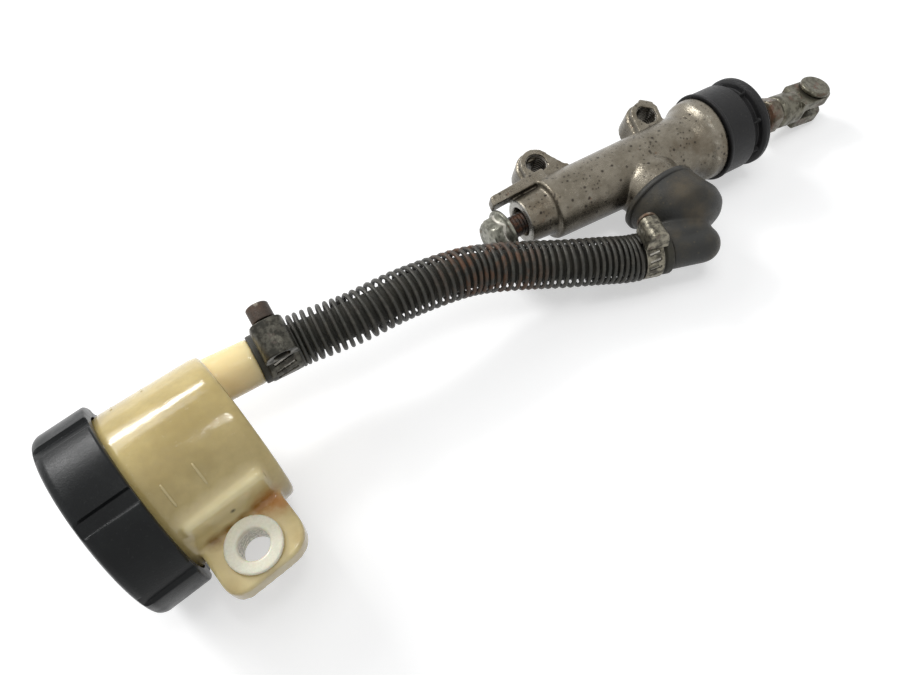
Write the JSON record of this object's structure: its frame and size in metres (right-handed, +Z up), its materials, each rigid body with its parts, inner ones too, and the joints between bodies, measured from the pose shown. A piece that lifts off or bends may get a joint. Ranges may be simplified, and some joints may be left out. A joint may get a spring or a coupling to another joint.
{
  "type": "brake master cylinder",
  "caption": "Small hydraulic brake master cylinder with side lugs, a booted pushrod and clevis, and a remote screw-cap fluid pot joined by a spring-guarded hose.",
  "frame": {"origin": "middle of the bounding box, at the table the part lies on", "axes": "+X along the bore towards the clevis, +Y towards the mounting lugs, +Z up from the table"},
  "size_m": [0.249, 0.0804, 0.0459],
  "materials": {
    "cast_aluminium": "weathered casting",
    "zinc_plate": "dull zinc plate",
    "rusty_steel": "rust-spotted plate",
    "spring_steel": "bright wire",
    "turned_alloy": "turned",
    "black_rubber": "matt",
    "grey_elbow": "dusty",
    "yellowed_nylon": "translucent, yellowed",
    "white_nylon": "satin",
    "black_cap": "fine grain"
  },
  "bodies": {
    "housing": {"circlip": "spring_steel", "clamp_band_elbow": "zinc_plate", "clamp_band_reservoir": "zinc_plate", "clamp_housing_elbow": "zinc_plate", "clamp_housing_reservoir": "zinc_plate", "cylinder_body": "cast_aluminium", "diaphragm": "black_rubber", "dust_boot": "black_rubber", "elbow": "grey_elbow", "hose": "black_rubber", "inlet_seal": "black_rubber", "lug_bush": "white_nylon", "port_bolt": "zinc_plate", "reservoir_body": "yellowed_nylon", "return_spring": "spring_steel", "spring_guard": "rusty_steel", "stop_washer": "spring_steel"},
    "piston": {"piston": "turned_alloy", "primary_cup": "black_rubber", "secondary_cup": "black_rubber"},
    "pushrod": {"pushrod": "rusty_steel", "lock_nut": "rusty_steel", "clevis": "rusty_steel"},
    "clevis_pin": {"clevis_pin": "rusty_steel", "pin_clip": "rusty_steel"},
    "cap_carrier": {"slip_ring": "white_nylon"},
    "cap": {"cap": "black_cap"},
    "screw_reservoir": {"clamp_screw_reservoir": "rusty_steel"},
    "screw_elbow": {"clamp_screw_elbow": "rusty_steel"}
  },
  "joints": [
    {"name": "piston_stroke", "type": "slide", "parent": "housing", "child": "piston", "axis": [-1, 0, 0], "range_m": [0, 0.009], "stiffness_N_per_m": 900, "springref_m": -0.008, "deforming": ["return_spring", "dust_boot"]},
    {"name": "pushrod_swing", "type": "hinge", "parent": "piston", "child": "pushrod", "pos_m": [0.06991, 0.01901, 0.01369], "axis": [0, -1, 0], "range_deg": [0, 16]},
    {"name": "clevis_pin_turn", "type": "hinge", "parent": "pushrod", "child": "clevis_pin", "pos_m": [0.11779, 0.01901, 0.00662], "axis": [0.1461, 0, 0.9893], "continuous": true},
    {"name": "cap_lift", "type": "slide", "parent": "housing", "child": "cap_carrier", "axis": [-0.9833, -0.1822, 0], "range_m": [0, 0.0075]},
    {"name": "cap_turn", "type": "hinge", "parent": "cap_carrier", "child": "cap", "pos_m": [-0.12069, -0.01149, 0.02299], "axis": [-0.9833, -0.1822, 0], "range_deg": [0, 900]},
    {"name": "screw_reservoir_turn", "type": "hinge", "parent": "housing", "child": "screw_reservoir", "pos_m": [-0.07094, 0.00778, 0.03067], "axis": [-0.0253, 0.9656, 0.2588], "continuous": true},
    {"name": "screw_elbow_turn", "type": "hinge", "parent": "housing", "child": "screw_elbow", "pos_m": [0.03085, -0.00572, 0.021], "axis": [0.2716, 0.9523, -0.1392], "continuous": true}
  ],
  "couplings": [
    {"joint": "cap_lift", "follows": "cap_turn", "m_per_rad": 0.00047746}
  ]
}
